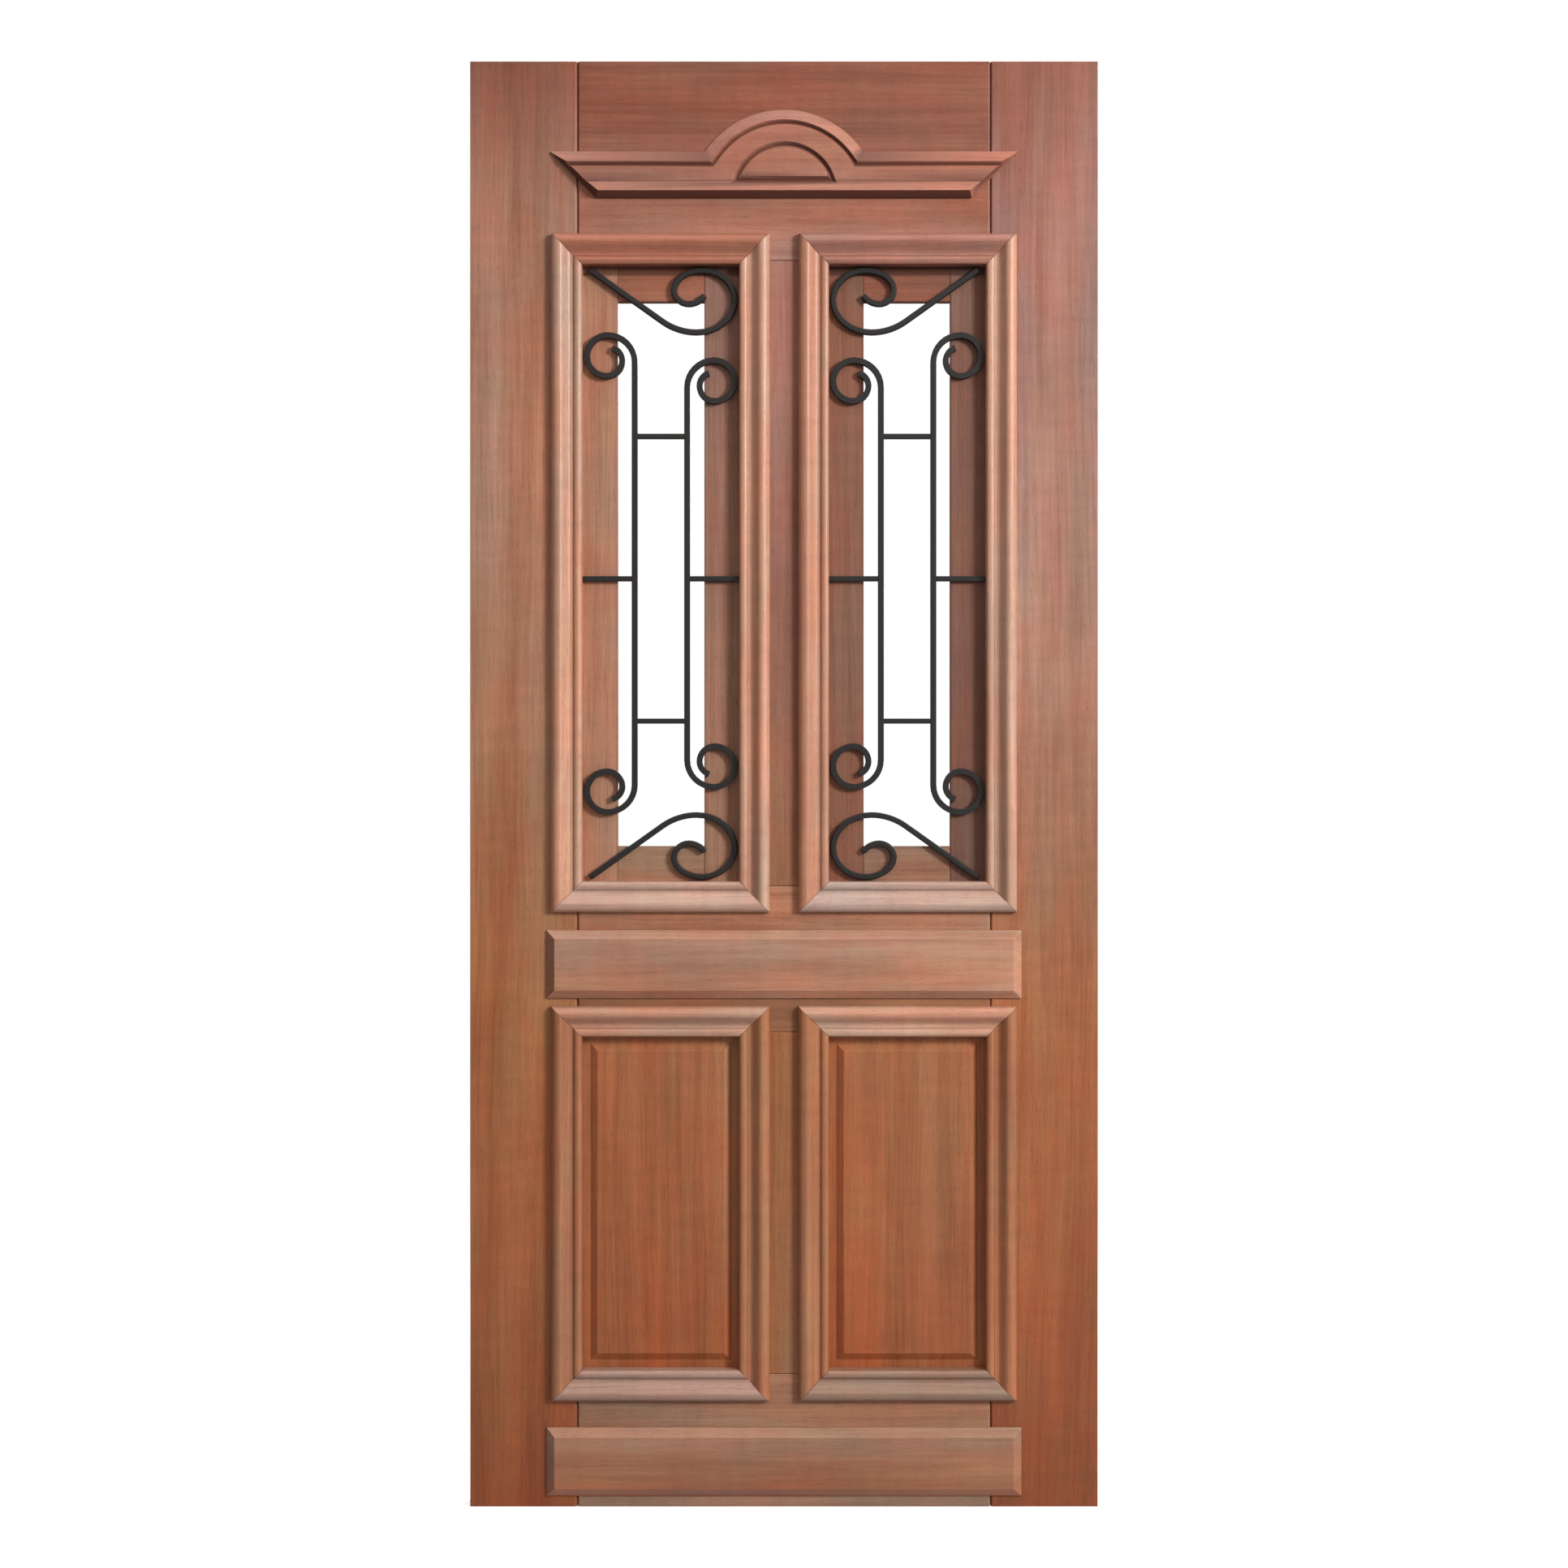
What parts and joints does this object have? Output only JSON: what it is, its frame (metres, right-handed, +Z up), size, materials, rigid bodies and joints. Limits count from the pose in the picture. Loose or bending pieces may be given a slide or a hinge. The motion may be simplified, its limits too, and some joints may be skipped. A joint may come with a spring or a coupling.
{
  "type": "panelled wooden door leaf",
  "caption": "Hardwood door leaf with lights behind scrolled ironwork over raised panels, bolection mouldings, planted blocks and an arched cornice.",
  "frame": {"origin": "middle of the hanging edge: the outer edge of the left stile seen from the front, at mid height and halfway through the leaf", "axes": "+X from the hanging edge to the lock edge, +Y from the front to the back, +Z up"},
  "size_m": [0.86, 0.0656, 1.98],
  "materials": {
    "frame_wood": "satin oiled hardwood, red-brown, straight grain",
    "panel_wood": "satin oiled hardwood, orange-brown, straight grain",
    "moulding_wood": "satin oiled hardwood, lighter brown, straight grain",
    "sash_wood": "satin oiled hardwood, red-brown, straight grain",
    "ironwork": "satin black paint over forged bar"
  },
  "bodies": {
    "root": {"left_stile": "frame_wood", "right_stile": "frame_wood", "top_rail": "frame_wood", "middle_rail": "frame_wood", "bottom_rail": "frame_wood", "upper_mullion": "frame_wood", "lower_mullion": "frame_wood", "cornice": "frame_wood", "left_panel": "panel_wood", "right_panel": "panel_wood", "middle_block": "moulding_wood", "bottom_block": "moulding_wood", "left_light_moulding_bottom": "moulding_wood", "left_light_back_bead_bottom": "moulding_wood", "left_light_moulding_left": "moulding_wood", "left_light_back_bead_left": "moulding_wood", "left_light_moulding_top": "moulding_wood", "left_light_back_bead_top": "moulding_wood", "left_light_moulding_right": "moulding_wood", "left_light_back_bead_right": "moulding_wood", "left_panel_moulding_bottom": "moulding_wood", "left_panel_back_bead_bottom": "moulding_wood", "left_panel_moulding_left": "moulding_wood", "left_panel_back_bead_left": "moulding_wood", "left_panel_moulding_top": "moulding_wood", "left_panel_back_bead_top": "moulding_wood", "left_panel_moulding_right": "moulding_wood", "left_panel_back_bead_right": "moulding_wood", "left_sash_left_stile": "sash_wood", "left_sash_right_stile": "sash_wood", "left_sash_top_rail": "sash_wood", "left_sash_bottom_rail": "sash_wood", "left_grille_bars": "ironwork", "left_grille_top_scroll": "ironwork", "left_grille_bottom_scroll": "ironwork", "right_light_moulding_bottom": "moulding_wood", "right_light_back_bead_bottom": "moulding_wood", "right_light_moulding_left": "moulding_wood", "right_light_back_bead_left": "moulding_wood", "right_light_moulding_top": "moulding_wood", "right_light_back_bead_top": "moulding_wood", "right_light_moulding_right": "moulding_wood", "right_light_back_bead_right": "moulding_wood", "right_panel_moulding_bottom": "moulding_wood", "right_panel_back_bead_bottom": "moulding_wood", "right_panel_moulding_left": "moulding_wood", "right_panel_back_bead_left": "moulding_wood", "right_panel_moulding_top": "moulding_wood", "right_panel_back_bead_top": "moulding_wood", "right_panel_moulding_right": "moulding_wood", "right_panel_back_bead_right": "moulding_wood", "right_sash_left_stile": "sash_wood", "right_sash_right_stile": "sash_wood", "right_sash_top_rail": "sash_wood", "right_sash_bottom_rail": "sash_wood", "right_grille_bars": "ironwork", "right_grille_top_scroll": "ironwork", "right_grille_bottom_scroll": "ironwork"}
  },
  "joints": []
}
